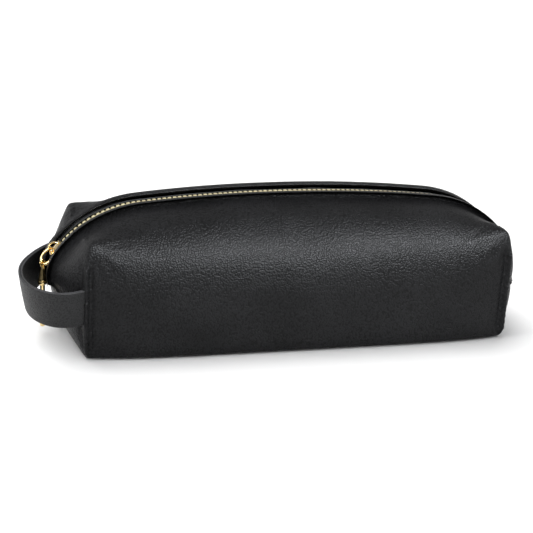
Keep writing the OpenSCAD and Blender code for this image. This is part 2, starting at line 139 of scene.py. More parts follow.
def flap_pt(side, a, a_row, d):
    x, upper = HALF_L - d, a_row <= 90
    p, row, tip = section_pt(x, a, d), section_pt(x, a_row, d), section_pt(x, 45 if upper else 135, d)
    share = (row[2] - MID_H) / (tip[2] - MID_H)
    z_mid = MID_H + share * (centre_z(x, d) - MID_H) if upper else MID_H - share * (MID_H - d)
    return (side * (x + flap_rise(z_mid, d) * flap_fullness(p[1] / tip[1])), p[1] * row[1] / tip[1],
            MID_H + share * (p[2] - MID_H))


def ease_ends(u):
    s = 2 * u - 1
    return 0.5 * s + 0.5 * sin(90 * s)


def row_angle(u):
    return 45 + 90 * u if u <= 0.5 else 135 - 45 * (2 * (1 - u)) ** 1.7


def belt_angle(x, u, d, y0, top):
    a0 = angle_at(x, y0, d, squareness(x, d) if top else BASE_N)
    return a0 + (45 - a0) * (1 - (1 - u) ** 1.5) if top else 135 + (45 - a0) * (1 - u) ** 1.7


def half_body(d, y_top, nx, nr, cols):
    """Vertices (back half, y > 0), quads, and the belt stations that run along the zip opening."""
    half, x_end = nx + nr, HALF_L - d
    belt = 2 * half

    def end_pt(side, r, u):
        a_row = row_angle(r / nr)
        upper = a_row <= 90
        y0 = y_top if upper else BASE_GAP / 2
        return flap_pt(side, belt_angle(x_end, u, d, y0, upper), a_row, d)

    def belt_pt(m, u):
        if m <= nx:
            x = x_end * ease_ends(m / nx)
            return section_pt(x, belt_angle(x, u, d, y_top, True), d)
        if m < half:
            return end_pt(1, m - nx, u)
        if m <= half + nx:
            x = -x_end * ease_ends((m - half) / nx)
            return section_pt(x, belt_angle(x, u, d, BASE_GAP / 2, False), d)
        return end_pt(-1, nr - (m - half - nx), u)

    pts = [belt_pt(m, k / cols) for k in range(cols + 1) for m in range(belt)]
    pts += [section_pt(x_end * ease_ends(i / nx), row_angle(r / nr), d)
            for r in range(1, nr) for i in range(1, nx)]
    rim = belt * cols

    def face_index(i, r):
        if r == 0:
            return rim + i
        if i == nx:
            return rim + nx + r
        if r == nr:
            return rim + nx + nr + (nx - i)
        if i == 0:
            return rim + 2 * nx + nr + (nr - r)
        return belt * (cols + 1) + (r - 1) * (nx - 1) + (i - 1)

    quads = [(k * belt + m, (k + 1) * belt + m, (k + 1) * belt + (m + 1) % belt, k * belt + (m + 1) % belt)
             for k in range(cols) for m in range(belt)]
    quads += [(face_index(i, r), face_index(i, r + 1), face_index(i + 1, r + 1), face_index(i + 1, r))
              for r in range(nr) for i in range(nx)]
    return np.array(pts), quads, belt


# ---------------------------------------------------------------- the line of the zip
S_TOP = math.radians((TOP_R - CHAIN_D) * JOIN_A)
S_SHO = S_TOP + math.radians((SHO_R - CHAIN_D) * (SHO_END - JOIN_A))
SEAM_A = 90 + math.degrees(math.asin((END_Z - MID_H) / (END_R - CHAIN_D)))
S_END = S_SHO + math.radians((END_R - CHAIN_D) * (SEAM_A - SHO_END))


def line_a(s):
    if s <= S_TOP:
        return math.degrees(s / (TOP_R - CHAIN_D))
    if s <= S_SHO:
        return JOIN_A + math.degrees((s - S_TOP) / (SHO_R - CHAIN_D))
    return SHO_END + math.degrees((s - S_SHO) / (END_R - CHAIN_D))


def line_pt(s, d):
    a = line_a(s)
    if s <= S_TOP:
        return (TOP_R - d) * sin(a), CROWN_H - TOP_R + (TOP_R - d) * cos(a)
    if s <= S_SHO:
        return SHO_X + (SHO_R - d) * sin(a), SHO_Z + (SHO_R - d) * cos(a)
    return END_X + (END_R - d) * sin(a), END_Z + (END_R - d) * cos(a)


def beside_line(s, y, d):
    side, c, x_seam = (-1 if s < 0 else 1), line_pt(abs(s), d), HALF_L - d
    x = min(c[0], x_seam)
    p = section_pt(x, angle_at(x, abs(y), d, squareness(x, d)), d)
    if c[0] <= x_seam:
        return (side * x, y, p[2])
    share = (c[1] - MID_H) / (centre_z(x_seam, d) - MID_H)
    out = (c[0] - x_seam) * flap_fullness(abs(y) / side_y(x_seam, d))
    return (side * (x_seam + out), y, MID_H + share * (p[2] - MID_H))


def line_frame(s, d=CHAIN_D):
    """4x4 at the zip line in mm: X along it, Z out of the bag."""
    side = -1 if s < 0 else 1
    c = line_pt(abs(s), d)
    m = np.eye(4)
    a = math.radians(side * line_a(abs(s)))
    m[:3, :3] = [[math.cos(a), 0, math.sin(a)], [0, 1, 0], [-math.sin(a), 0, math.cos(a)]]
    m[:3, 3] = [side * c[0], 0, c[1]]
    return m


# ---------------------------------------------------------------- mesh helpers
def make(name, pts, faces, body, material, replaces=(), slot=None, sharp=None):
    mesh = bpy.data.meshes.new(name)
    mesh.from_pydata([tuple(p) for p in np.asarray(pts) * MM], [], [tuple(int(i) for i in f) for f in faces])
    mesh.update()
    mesh.validate()
    mesh.polygons.foreach_set("use_smooth", [True] * len(mesh.polygons))
    if sharp:
        mesh.set_sharp_from_angle(angle=math.radians(sharp))
    obj = bpy.data.objects.new(name, mesh)
    bpy.context.scene.collection.objects.link(obj)
    mesh.materials.append(material)
    if replaces:
        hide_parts(*replaces)
    if body:
        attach(obj, body)
    return obj


def join_parts(parts):
    """One list of points and faces from several."""
    pts, faces, at = [], [], 0
    for p, f in parts:
        pts.append(np.asarray(p, float))
        faces += [tuple(i + at for i in q) for q in f]
        at += len(p)
    return np.vstack(pts), faces


def moved(m, part):
    p, f = part
    p = np.asarray(p, float)
    return p @ m[:3, :3].T + m[:3, 3], f


def turned(part):
    """The part mirrored to the front, with its faces turned back outwards."""
    p, f = part
    return np.asarray(p) * [1, -1, 1], [tuple(reversed(q)) for q in f]


def grid_faces(n, k, wrap_n=False, wrap_k=False):
    return [(i * k + j, ((i + 1) % n) * k + j, ((i + 1) % n) * k + (j + 1) % k, i * k + (j + 1) % k)
            for i in range(n if wrap_n else n - 1) for j in range(k if wrap_k else k - 1)]


def tube(path, radius, ring=12, closed=False, up=(0, 0, 1), squash=(1, 1)):
    """A swept tube along path; radius may vary along it."""
    path = np.asarray(path, float)
    n = len(path)
    radius = np.broadcast_to(radius, (n,))
    t = np.roll(path, -1, 0) - np.roll(path, 1, 0) if closed else np.gradient(path, axis=0)
    t /= np.linalg.norm(t, axis=1)[:, None]
    side = np.cross(t, np.asarray(up, float))
    side /= np.linalg.norm(side, axis=1)[:, None]
    out = np.cross(side, t)
    a = np.linspace(0, 2 * np.pi, ring, endpoint=False)
    pts = (path[:, None] + radius[:, None, None] * (squash[0] * np.cos(a)[None, :, None] * side[:, None]
                                                    + squash[1] * np.sin(a)[None, :, None] * out[:, None]))
    pts = pts.reshape(-1, 3)
    faces = grid_faces(n, ring, closed, True)
    if not closed:
        faces += [tuple(range(ring)), tuple(reversed(range((n - 1) * ring, n * ring)))]
    return pts, [tuple(reversed(f)) for f in faces]


def lathe(profile, seg=40):
    """(radius, z) pairs from the top down, round Z."""
    a = np.linspace(0, 2 * np.pi, seg, endpoint=False)
    pts = np.array([(r * math.cos(t), r * math.sin(t), z) for r, z in profile for t in a])
    faces = grid_faces(len(profile), seg, False, True)
    faces += [tuple(range(seg)), tuple(reversed(range((len(profile) - 1) * seg, len(profile) * seg)))]
    return pts, faces


def bevelled(pts, faces, width, segments=3):
    bm = bmesh.new()
    vs = [bm.verts.new(p) for p in pts]
    for f in faces:
        bm.faces.new([vs[i] for i in f])
    bmesh.ops.recalc_face_normals(bm, faces=bm.faces)
    bmesh.ops.bevel(bm, geom=list(bm.edges), offset=width, segments=segments, profile=0.6, affect="EDGES",
                    clamp_overlap=True)
    bm.verts.index_update()
    out = np.array([v.co[:] for v in bm.verts]), [tuple(v.index for v in f.verts) for f in bm.faces]
    bm.free()
    return out


def block(x0, x1, y0, y1, z0, z1, width, segments=3):
    p = [(x, y, z) for x in (x0, x1) for y in (y0, y1) for z in (z0, z1)]
    f = [(0, 1, 3, 2), (4, 6, 7, 5), (0, 4, 5, 1), (2, 3, 7, 6), (0, 2, 6, 4), (1, 5, 7, 3)]
    return bevelled(p, f, width, segments)


def prism(outline, z0, z1, width, segments=3):
    n = len(outline)
    p = [(x, y, z0) for x, y in outline] + [(x, y, z1) for x, y in outline]
    f = [tuple(reversed(range(n))), tuple(range(n, 2 * n))]
    f += [(i, (i + 1) % n, n + (i + 1) % n, n + i) for i in range(n)]
    return bevelled(p, f, width, segments)


def vertex_normals(pts, faces):
    q = np.array([f[:4] if len(f) >= 4 else (*f, f[-1]) for f in faces])
    n = np.cross(pts[q[:, 2]] - pts[q[:, 0]], pts[q[:, 3]] - pts[q[:, 1]])
    out = np.zeros_like(pts)
    for k in range(4):
        np.add.at(out, q[:, k], n)
    return out / np.maximum(np.linalg.norm(out, axis=1), 1e-9)[:, None]


def smooth_noise(pts, scale, seed):
    return np.array([noise.noise(Vector((p[0] / scale + seed, p[1] / scale, p[2] / scale))) for p in pts])


def bump_at(v, centre, width):
    return np.exp(-((v - centre) / width) ** 2)


# ---------------------------------------------------------------- materials
def new_material(name, base, rough, metallic=0.0):
    m = bpy.data.materials.new(name)
    m.use_nodes = True
    nt = m.node_tree
    b = nt.nodes["Principled BSDF"]
    b.inputs["Base Color"].default_value = (*base, 1)
    b.inputs["Roughness"].default_value = rough
    b.inputs["Metallic"].default_value = metallic
    return m, nt, b


def node(nt, kind, **values):
    n = nt.nodes.new(kind)
    for k, v in values.items():
        if k in n.inputs:
            n.inputs[k].default_value = v
        else:
            setattr(n, k, v)
    return n


def coords(nt, scale=(1, 1, 1), rotation=(0, 0, 0)):
    tc = node(nt, "ShaderNodeTexCoord")
    mp = node(nt, "ShaderNodeMapping")
    mp.inputs["Scale"].default_value = scale
    mp.inputs["Rotation"].default_value = rotation
    nt.links.new(tc.outputs["Object"], mp.inputs["Vector"])
    return mp.outputs["Vector"]


def math_node(nt, op, a, b):
    n = node(nt, "ShaderNodeMath", operation=op)
    for i, v in enumerate((a, b)):
        if isinstance(v, (int, float)):
            n.inputs[i].default_value = v
        else:
            nt.links.new(v, n.inputs[i])
    return n.outputs[0]


def ramp(nt, fac, stops):
    r = node(nt, "ShaderNodeValToRGB")
    e = r.color_ramp.elements
    while len(e) < len(stops):
        e.new(0.5)
    for el, (p, c) in zip(e, stops):
        el.position = p
        el.color = (*c, 1) if len(c) == 3 else c
    nt.links.new(fac, r.inputs["Fac"])
    return r.outputs["Color"]


def bump(nt, b, height, strength, distance):
    n = node(nt, "ShaderNodeBump")
    n.inputs["Strength"].default_value = strength
    n.inputs["Distance"].default_value = distance
    nt.links.new(height, n.inputs["Height"])
    nt.links.new(n.outputs["Normal"], b.inputs["Normal"])


def grey(v):
    return (v, v, v)


def tinted(base, share):
    return tuple(min(1, c * share) for c in base)


def leather_material(name, base, rough, grain, depth, shine=0.3):
    """Pebbled leather: domed cells with painted shade in the creases between them, finer grain, patchy colour and
    sheen.
    """
    m, nt, b = new_material(name, base, rough)
    v = coords(nt)
    warp = node(nt, "ShaderNodeTexNoise", Scale=600.0, Detail=2.0)
    nt.links.new(v, warp.inputs["Vector"])
    mixed = node(nt, "ShaderNodeVectorMath", operation="MULTIPLY_ADD")
    nt.links.new(warp.outputs["Color"], mixed.inputs[0])
    mixed.inputs[1].default_value = (0.0007, 0.0007, 0.0007)
    nt.links.new(v, mixed.inputs[2])
    cell = node(nt, "ShaderNodeTexVoronoi", feature="F1", Scale=grain)
    nt.links.new(mixed.outputs[0], cell.inputs["Vector"])
    crease = ramp(nt, cell.outputs["Distance"], [(0.15, grey(1)), (0.45, grey(0.72)), (0.75, grey(0))])
    fine = node(nt, "ShaderNodeTexNoise", Scale=grain * 1.7, Detail=3.0, Roughness=0.6)
    nt.links.new(v, fine.inputs["Vector"])
    wide = node(nt, "ShaderNodeTexNoise", Scale=26.0, Detail=3.0, Roughness=0.55)
    nt.links.new(v, wide.inputs["Vector"])
    height = math_node(nt, "ADD", crease, math_node(nt, "MULTIPLY", fine.outputs["Fac"], 0.45))
    height = math_node(nt, "ADD", height, math_node(nt, "MULTIPLY", wide.outputs["Fac"], 1.2))
    bump(nt, b, height, 1.0, depth)
    b.inputs["Specular IOR Level"].default_value = shine
    spread = [(0.3, tinted(base, 0.72)), (0.7, tinted(base, 1.5))]
    # the colour is patchy at random, and darkened in the creases between the cells as painted shade
    crease_shaded_tone = node(nt, "ShaderNodeVectorMath", operation="MULTIPLY")
    nt.links.new(ramp(nt, wide.outputs["Fac"], spread), crease_shaded_tone.inputs[0])
    nt.links.new(math_node(nt, "ADD", math_node(nt, "MULTIPLY", crease, 0.7), 0.3), crease_shaded_tone.inputs[1])
    nt.links.new(crease_shaded_tone.outputs[0], b.inputs["Base Color"])
    gloss = math_node(nt, "MULTIPLY", crease, -0.10)
    gloss = math_node(nt, "ADD", gloss, math_node(nt, "MULTIPLY", wide.outputs["Fac"], 0.14))
    nt.links.new(math_node(nt, "ADD", gloss, rough), b.inputs["Roughness"])
    return m


def weave_material(name, base, rough, pitch, depth, direction=0.0, sheen=0.25):
    """Woven cloth: two crossed thread waves with slubs; the colour follows the thread height, as painted shade in
    the hollows and painted highlight on the tops.
    """
    m, nt, b = new_material(name, base, rough)
    waves = []
    for turn in (direction, direction + math.pi / 2):
        w = node(nt, "ShaderNodeTexWave", Scale=1.0 / pitch, Distortion=0.6)
        w.inputs["Detail"].default_value = 1.0
        nt.links.new(coords(nt, (0.05, 0.05, 0.05), (0, 0, turn)), w.inputs["Vector"])
        waves.append(w.outputs["Fac"])
    slub = node(nt, "ShaderNodeTexNoise", Scale=900.0, Detail=2.0)
    nt.links.new(coords(nt), slub.inputs["Vector"])
    height = math_node(nt, "MAXIMUM", waves[0], waves[1])
    height = math_node(nt, "ADD", height, math_node(nt, "MULTIPLY", slub.outputs["Fac"], 0.5))
    bump(nt, b, height, 1.0, depth)
    # painted shade and highlight: darker in the hollows of the weave, lighter on the threads' tops
    tint = ramp(nt, height, [(0.3, tinted(base, 0.5)), (0.95, tinted(base, 1.6))])
    nt.links.new(tint, b.inputs["Base Color"])
    b.inputs["Sheen Weight"].default_value = sheen
    return m


def metal_material(name, base, rough, scratch, metallic=1.0):
    m, nt, b = new_material(name, base, rough, metallic)
    v = coords(nt)
    n1 = node(nt, "ShaderNodeTexNoise", Scale=420.0, Detail=3.0)
    n2 = node(nt, "ShaderNodeTexNoise", Scale=2600.0, Detail=2.0)
    nt.links.new(v, n1.inputs["Vector"])
    nt.links.new(v, n2.inputs["Vector"])
    tint = [(0.35, tinted(base, 0.86)), (0.7, tinted(base, 1.08))]
    nt.links.new(ramp(nt, n1.outputs["Fac"], tint), b.inputs["Base Color"])
    haze = math_node(nt, "MULTIPLY", n1.outputs["Fac"], 0.12)
    nt.links.new(math_node(nt, "ADD", haze, rough - 0.06), b.inputs["Roughness"])
    bump(nt, b, n2.outputs["Fac"], 0.5, scratch)
    return m


def thread_material(name, base):
    m, nt, b = new_material(name, base, 0.6)
    w = node(nt, "ShaderNodeTexWave", Scale=1400.0, Distortion=0.3)
    nt.links.new(coords(nt, (1, 1, 1), (0, 0, 0.6)), w.inputs["Vector"])
    bump(nt, b, w.outputs["Fac"], 0.8, 0.00008)
    # painted shade and highlight: darker in the grooves of the twist, lighter on its ridges
    tint = ramp(nt, w.outputs["Fac"], [(0, tinted(base, 0.6)), (1, tinted(base, 1.5))])
    nt.links.new(tint, b.inputs["Base Color"])
    b.inputs["Sheen Weight"].default_value = 0.3
    return m


LEATHER = leather_material("leather_black", (0.0125, 0.0126, 0.0136), 0.37, 1150.0, 0.00016, 0.12)
STRAP = leather_material("strap_leather", (0.020, 0.0202, 0.021), 0.50, 1700.0, 0.00008, 0.2)
RAW_EDGE = leather_material("strap_raw_edge", (0.060, 0.060, 0.064), 0.65, 2600.0, 0.00008)
LINING = weave_material("lining_cloth", (0.02, 0.02, 0.022), 0.8, 0.02, 0.00006)
TAPE = weave_material("zip_tape_weave", (0.007, 0.007, 0.0075), 0.75, 0.03, 0.00012, 0.7, 0.04)
BINDING = weave_material("binding_ribbed", (0.015, 0.015, 0.016), 0.75, 0.02, 0.0001)
THREAD = thread_material("stitch_thread", (0.012, 0.012, 0.013))
TOOTH = metal_material("teeth_gold", (1.0, 0.86, 0.53), 0.34, 0.00002, 0.55)
GOLD = metal_material("hardware_gold", (0.90, 0.69, 0.33), 0.13, 0.000008)


# ---------------------------------------------------------------- leather panels
NX, NR, COLS = 170, 76, 34      # steps along the bag, down its side, and from its middle out to the side
LIP = OPENING / 2               # the folded edge of the leather, measured from the zip's middle
STITCH_Y, PITCH = LIP + 1.5, 3.2
LIP_DIP, LIP_REACH = 2.2, 3.6   # how far the leather sinks towards the zip, and how soon it has risen again
GROOVE, GROOVE_W = 1.7, 0.65    # depth and width of a corner seam
WELT, WELT_AT, WELT_W = 0.7, 2.0, 1.1   # the ridge that stands beside a corner seam
MAX_LIFT = 0.9                  # nothing stands further out than this
EAR_LIFT, EAR_REACH = 2.6, 13   # the ears stand a little higher than a square corner
ROUNDING, ROUND_STEPS = 0.6, 70


def slow_waves(pts, y, z, seed):
    """Dents and swells over the whole panel, none under the bag and little by the zip."""
    waves = 0.75 * smooth_noise(pts, 42, seed) + 0.32 * smooth_noise(pts, 17, seed + 9)
    return (waves * np.clip((z - 2) / 14, 0, 1) - 0.25) * np.clip((y - 5) / 12, 0.1, 1)


def corner_seam(pts, x, y, z, on_end, seed):
    """A tight groove with a ridge beside it, and puckers at the stitches that fade away from it."""
    away = np.where(on_end, np.abs(y - HALF_W), np.abs(np.abs(x) - HALF_L))
    phase = z / PITCH * 2 * np.pi + 0.9 * np.sin(z / 9 + seed) + np.sign(x) * 0.7
    crease = -GROOVE * np.exp(-(away / GROOVE_W) ** 2) + WELT * np.exp(-((away - WELT_AT) / WELT_W) ** 2)
    pucker = 0.10 * np.sin(phase) * np.exp(-away / 3.2) * (1 + 0.5 * smooth_noise(pts, 6, seed + 3))
    return np.where((y > HALF_W * 0.55) & (z > 1), (crease + pucker) * np.clip(z / 6, 0, 1), 0)


def ear_wrinkles(pts, x, y, z, on_end, seed):
    """Wrinkles fanning from both ears of a panel, and a dimple at each tip."""
    lift = np.zeros(len(pts))
    for sx in (-1, 1):
        dx, dz = (x * sx - HALF_L), (z - SEAM_H)
        r = np.hypot(dx, dz)
        fan = np.arctan2(-dz, -dx)
        wave = np.sin(fan * 17 + 3 * smooth_noise(pts, 11, seed + sx)) * np.exp(-((r - 9) / 11) ** 2)
        lift += np.where((y > HALF_W * 0.6) & ~on_end, 0.20 * wave, 0)
        lift += -0.5 * np.exp(-(np.sqrt(dx ** 2 + dz ** 2 + (y - HALF_W) ** 2) / 3.2) ** 2)
    return lift


def end_seam(y, z, on_end):
    """The level seam across each end."""
    seam = -0.55 * bump_at(z, MID_H, 0.8) + 0.22 * bump_at(np.abs(z - MID_H), 2.0, 1.4)
    return np.where(on_end, seam, 0) * (1 + 0.4 * np.sin(y / PITCH * 2 * np.pi))


def zip_channel(x, y, z):
    """The topstitched channel, puffed between the stitches, and the dip towards the zip."""
    upper = z > MID_H - 1
    run = np.hypot(x, z - MID_H)
    channel = -0.20 * bump_at(y, STITCH_Y, 0.55) + 0.10 * bump_at(y, STITCH_Y + 1.7, 1.1)
    channel += 0.05 * bump_at(y, LIP + 0.6, 0.5)
    channel = np.where(upper & (y < 14), channel, 0) * (1 + 0.25 * np.sin(run / PITCH * 2 * np.pi))
    dip = LIP_DIP * np.where(upper, np.exp(-np.clip((y - LIP) / LIP_REACH, 0, None) ** 2), 0)
    return channel - dip


def round_ears(out, faces, x, y, z):
    """Each ear is raised a little, and its tip is smoothed round as turned leather is."""
    quads = np.array(faces)
    sides = [quads[:, [j, (j + 1) % 4]] for j in range(4)]
    ends = np.concatenate(sides + [side[:, ::-1] for side in sides])
    near = np.zeros(len(out))
    for sx in (-1, 1):
        gap = np.linalg.norm(np.stack([x - sx * HALF_L, y - HALF_W, z - SEAM_H], 1), axis=1)
        out[:, 2] += EAR_LIFT * np.exp(-(gap / EAR_REACH) ** 2)
        near = np.maximum(near, np.clip(1.5 - gap / 8, 0, 1))
    links = np.bincount(ends[:, 0], minlength=len(out))[:, None]
    for _ in range(ROUND_STEPS):
        total = np.stack([np.bincount(ends[:, 0], out[ends[:, 1], k], len(out)) for k in range(3)], 1)
        out += (near[:, None] * ROUNDING) * (total / links - out)


def sculpt(pts, nrm, faces, seed):
    """The soft hand of the leather, as heights over the CAD part's surface; the base stays flat."""
    x, y, z = pts[:, 0], np.abs(pts[:, 1]), pts[:, 2]
    on_end = np.abs(x) > HALF_L - 0.3
    lift = slow_waves(pts, y, z, seed) + corner_seam(pts, x, y, z, on_end, seed)
    lift += ear_wrinkles(pts, x, y, z, on_end, seed) + end_seam(y, z, on_end) + zip_channel(x, y, z)
    lift *= np.clip(z / 1.5, 0, 1)
    out = pts + nrm * np.minimum(lift, MAX_LIFT)[:, None]
    round_ears(out, faces, x, y, z)
    out[:, 2] = np.maximum(out[:, 2], 0.02)
    return out


def leather_half(name, front, nodes, seed):
    pts, faces, belt = half_body(0, LIP, NX, NR, COLS)
    count = len(pts)
    top = [m for m in range(belt) if m <= NX + NR // 2 or m >= belt - NR // 2]
    top = sorted(top, key=lambda m: m if m <= NX + NR // 2 else m - belt)
    # the leather is folded under along the zip and stitched down: each row's depth and its way back
    rows = [(0.2, 0.05), (0.5, 0.1), (0.8, 0.3), (0.9, 1.4), (0.95, 3.6)]
    extra, strips = [], []
    nrm = vertex_normals(pts, faces)
    for down, out in rows:
        for m in top:
            extra.append(pts[m] - nrm[m] * down + np.array([0, out, 0]))
    last = top
    for j in range(len(rows)):
        row = [count + j * len(top) + i for i in range(len(top))]
        strips += [(last[i + 1], row[i + 1], row[i], last[i])[::-1] for i in range(len(top) - 1)]
        last = row
    if front:
        pts, nrm = pts * [1, -1, 1], nrm * [1, -1, 1]
        extra = np.array(extra) * [1, -1, 1]
        faces = [tuple(reversed(f)) for f in faces]
        strips = [tuple(reversed(f)) for f in strips]
    body = sculpt(pts, nrm, faces, seed)
    lift = body[top] - pts[top]
    extra = np.array(extra) + np.tile(lift, (len(rows), 1))
    allp = np.vstack([body, extra])
    obj = make(name, allp, faces + strips, None, LEATHER, nodes, "leather")
    fix_normals(obj)
    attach(obj, "bag")
    return obj


def fix_normals(obj):
    bm = bmesh.new()
    bm.from_mesh(obj.data)
    bmesh.ops.recalc_face_normals(bm, faces=bm.faces)
    bm.to_mesh(obj.data)
    bm.free()


leather_half("leather_front", True, ["front_panel"], 3.1)
leather_half("leather_back", False, ["back_panel"], 8.7)


# ---------------------------------------------------------------- lining and bindings, inside
def lining_half(name, front, nodes):
    pts, faces, belt = half_body(LINING_D, LIP, 60, 24, 10)
    nrm = vertex_normals(pts, faces)
    by_zip = np.where(pts[:, 2] > MID_H - 1, np.exp(-((np.abs(pts[:, 1]) - LIP) / 6) ** 2), 0)
    pts = pts - nrm * (2.0 * by_zip)[:, None]
    wave = 0.25 * smooth_noise(pts, 14, 21.0 + front)
    wave = wave + 0.15 * smooth_noise(pts, 6, 4.0)
    inner = pts - nrm * 0.45
    outer = pts + nrm * np.minimum(wave, 0.15)[:, None]
    n = len(pts)
    allf = faces + [tuple(reversed([i + n for i in f])) for f in faces]
    allf += [(m, (m + 1) % belt, n + (m + 1) % belt, n + m) for m in range(belt)]
    allp = np.vstack([outer, inner + nrm * np.minimum(wave, 0.15)[:, None]])
    if front:
        allp = allp * [1, -1, 1]
    obj = make(name, allp, allf, None, LINING, nodes, "lining")
    fix_normals(obj)
    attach(obj, "bag")


lining_half("lining_front", True, ["front_lining"])
lining_half("lining_back", False, ["back_lining"])


def ribbon(centre, across, thick, ribs=9):
    """A folded binding tape: a flat, ribbed tube along centre, with across as the direction of its width."""
    centre = np.asarray(centre, float)
    t = np.gradient(centre, axis=0)
    t /= np.linalg.norm(t, axis=1)[:, None]
    w = np.asarray(across, float)
    width = np.linalg.norm(w)
    w = w / width
    out = np.cross(t, w)
    u = np.linspace(-1, 1, ribs)
    prof = [(width / 2 * v, thick / 2 * (1 - 0.5 * abs(v) ** 6)) for v in u]
    prof += [(width / 2 * v, -thick / 2 * (1 - 0.5 * abs(v) ** 6)) for v in u[::-1]]
    pts = np.array([c + w * a + o * b for c, o in zip(centre, out) for a, b in prof])
    k = len(prof)
    faces = grid_faces(len(centre), k, False, True)
    faces += [tuple(range(k)), tuple(reversed(range((len(centre) - 1) * k, len(centre) * k)))]
    return pts, faces


# binding tapes: depth under the leather and half length at an end, width, thickness at a corner and elsewhere
BIND_D, BIND_END, BIND_W, CORNER_T, LEVEL_T = 3.3, 28, 4.9, 0.5, 0.45


def binding(name, line, across, thick, cad_node):
    """One folded tape along a line."""
    make(name, *ribbon(line, across, thick), "bag", BINDING, [cad_node], "binding", sharp=50)


for sx, lr in ((-1, "left"), (1, "right")):
    for fb in ("front", "back"):
        lo, hi = [np.array(c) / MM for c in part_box(f"corner_binding_{fb}_{lr}")]
        mid = (lo + hi) / 2
        line = [(mid[0] + 0.08 * math.sin(z * 1.9), mid[1], z) for z in np.linspace(lo[2], hi[2], 40)]
        across = (0, (hi[1] - lo[1]) * 0.98, 0)
        binding(f"binding_{fb}_{lr}", line, across, CORNER_T, f"corner_binding_{fb}_{lr}")
    line = []
    for y in np.linspace(-BIND_END, BIND_END, 41):
        bulge = flap_rise(MID_H, BIND_D) * flap_fullness(abs(y) / (HALF_W - BIND_D))
        line.append((sx * (HALF_L - BIND_D + bulge - 0.1), y, MID_H))
    binding(f"binding_end_{lr}", line, (0, 0, BIND_W), LEVEL_T, f"end_binding_{lr}")
lo, hi = [np.array(c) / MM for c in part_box("base_seam_binding")]
line = [(x, 0, (lo[2] + hi[2]) / 2 + 0.06 * math.sin(x * 0.9)) for x in np.linspace(lo[0], hi[0], 90)]
binding("binding_base", line, (0, BIND_W, 0), LEVEL_T, "base_seam_binding")


# ---------------------------------------------------------------- zip tapes, teeth, stops, stitches
# the tape across, from its cord by the teeth to its hidden edge: each line's y and its rise
TAPE_LINES = [(1.15, 0), (1.2, 0.18), (1.5, 0.42), (2.0, 0.52), (2.6, 0.42), (3.0, 0.16), (3.4, 0.02),
              (4.2, 0), (5.2, 0), (6.4, 0), (8.5, 0), (10.5, 0), (12.2, 0), (12.4, -0.1)]
TAPE_STEPS = 260
TAPE_SINK, TAPE_SINK_MORE = 0.9, 1.9    # how much deeper than the CAD tape by the teeth, and further by the leather


def tape_half(name, front, nodes):
    """A woven tape with its cord, dipping away from the teeth so that it lies under the leather's fold."""
    n, k = TAPE_STEPS, len(TAPE_LINES)
    top, under = [], []
    for i in range(n):
        s = (2 * i / (n - 1) - 1) * (S_END - 0.5)
        for y, rise in TAPE_LINES:
            ripple = 0.05 * math.sin(s * 2.1 + y)
            dip = TAPE_SINK + TAPE_SINK_MORE * min(1, max(0, (y - 1.6) / 4.4))
            top.append(beside_line(s, y, TAPE_D - rise * 0.55 + 0.02 + dip - ripple * (0.4 < y < 6)))
            under.append(beside_line(s, y, TAPE_D + TAPE_T + dip + (rise * 0.4 if rise > 0 else 0)))
    faces = grid_faces(n, k)
    faces += [tuple(reversed([i + n * k for i in f])) for f in grid_faces(n, k)]
    for a in (0, k - 1):
        faces += [(j, j + k, j + k + n * k, j + n * k) for j in range(a, a + (n - 1) * k, k)]
    pts = np.array(top + under)
    if front:
        pts = pts * [1, -1, 1]
    obj = make(name, pts, faces, None, TAPE, nodes, "zip_tape", sharp=60)
    fix_normals(obj)
    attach(obj, "bag")


tape_half("tape_front", True, ["zip_tape_front"])
tape_half("tape_back", False, ["zip_tape_back"])

TOOTH_PITCH = 2.54


def tooth():
    """One cast tooth: a rounded head with a dimple that meets the other row, and legs clamped on the cord."""
    side = [(0.80, 2.75), (0.82, 0.9), (0.66, 0.1), (0.52, -0.55), (0.30, -0.92)]
    outline = side + [(-x, y) for x, y in reversed(side)]
    pts, faces = prism(outline, -1.12, 1.16, 0.2, 2)
    pts = np.array(pts)
    r = np.hypot(pts[:, 0] / 0.42, (pts[:, 1] + 0.35) / 0.5)
    pts[:, 2] -= np.where(pts[:, 2] > 0.8, 0.16 * np.exp(-r ** 2), 0)
    pts[:, 2] += np.where(pts[:, 2] > 0.8, 0.10 * np.exp(-((pts[:, 1] - 1.2) / 0.8) ** 2), 0)
    return pts, faces


chain_from = -S_SHO + 1                 # the first closed tooth stands just past the slider
bottom_s = S_SHO + math.radians((END_R - CHAIN_D) * 30)
STOP_L, STOP_IN, STOP_OUT = 3.0, 0.5, 2.75
TEETH = int((bottom_s - STOP_L / 2 - 0.4 - 1.2 - chain_from) // TOOTH_PITCH)
tooth_pts, tooth_faces = tooth()
for front, nm, lag in ((True, "front", 0), (False, "back", 0.5)):
    parts = []
    for i in range(TEETH):
        wob = math.radians(1.1 * math.sin(i * 2.3 + lag * 5))
        turn = np.array([[math.cos(wob), -math.sin(wob), 0], [math.sin(wob), math.cos(wob), 0], [0, 0, 1]])
        at = line_frame(chain_from + 0.6 + (i + lag) * TOOTH_PITCH)
        part = moved(at, (tooth_pts @ turn, tooth_faces))
        parts.append(turned(part) if front else part)
    make(f"teeth_{nm}", *join_parts(parts), "bag", TOOTH, [f"zip_teeth_{nm}"], "teeth", sharp=40)


def clip(length, y0, y1):
    """A stop: a small block pressed round the tape or the chain."""
    return block(-length / 2, length / 2, y0, y1, -1.15, 1.2, 0.35, 3)


